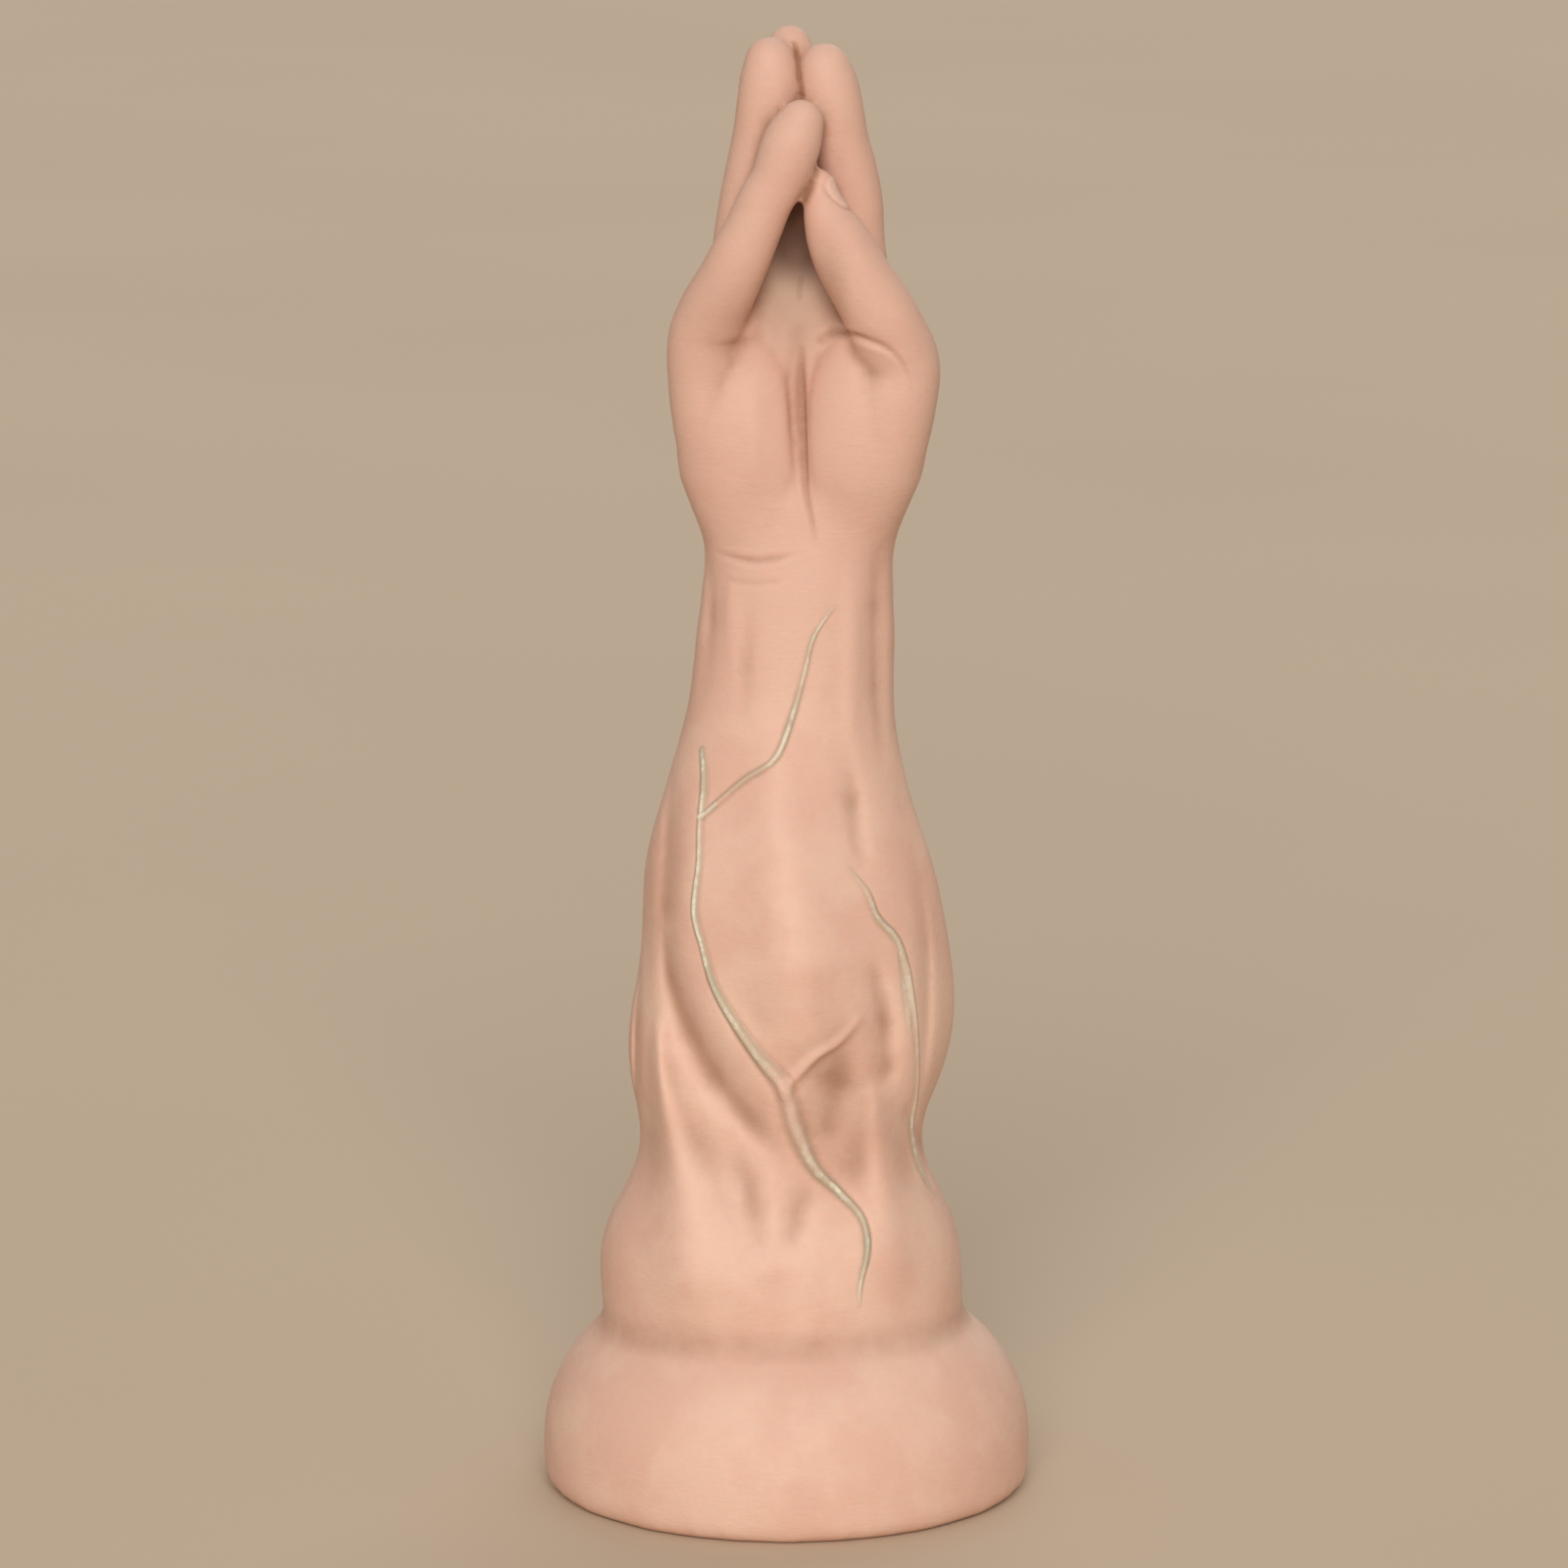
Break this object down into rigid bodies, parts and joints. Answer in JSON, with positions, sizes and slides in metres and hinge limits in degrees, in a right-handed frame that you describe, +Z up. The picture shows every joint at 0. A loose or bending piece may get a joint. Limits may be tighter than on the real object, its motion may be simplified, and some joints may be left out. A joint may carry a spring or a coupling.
{
  "type": "cast hand and forearm",
  "caption": "Soft cast right hand and forearm with gathered fingertips on a flared round foot; probably an adult novelty, not a wearable prosthesis.",
  "frame": {"origin": "middle of the foot's flat underside", "axes": "+Z up the arm to the fingertips, -Y towards the palm side, +X towards the thumb side"},
  "size_m": [0.134, 0.134, 0.4],
  "materials": {
    "skin": "matte soft flesh-coloured elastomer with faint pale green paint on the veins"
  },
  "bodies": {
    "root": {"base_foot": "skin", "elbow_bulge": "skin", "forearm": "skin", "wrist": "skin", "palm": "skin", "thumb_mound": "skin", "heel_mound": "skin", "thumb": "skin", "index_finger": "skin", "middle_finger": "skin", "ring_finger": "skin", "little_finger": "skin"}
  },
  "joints": []
}
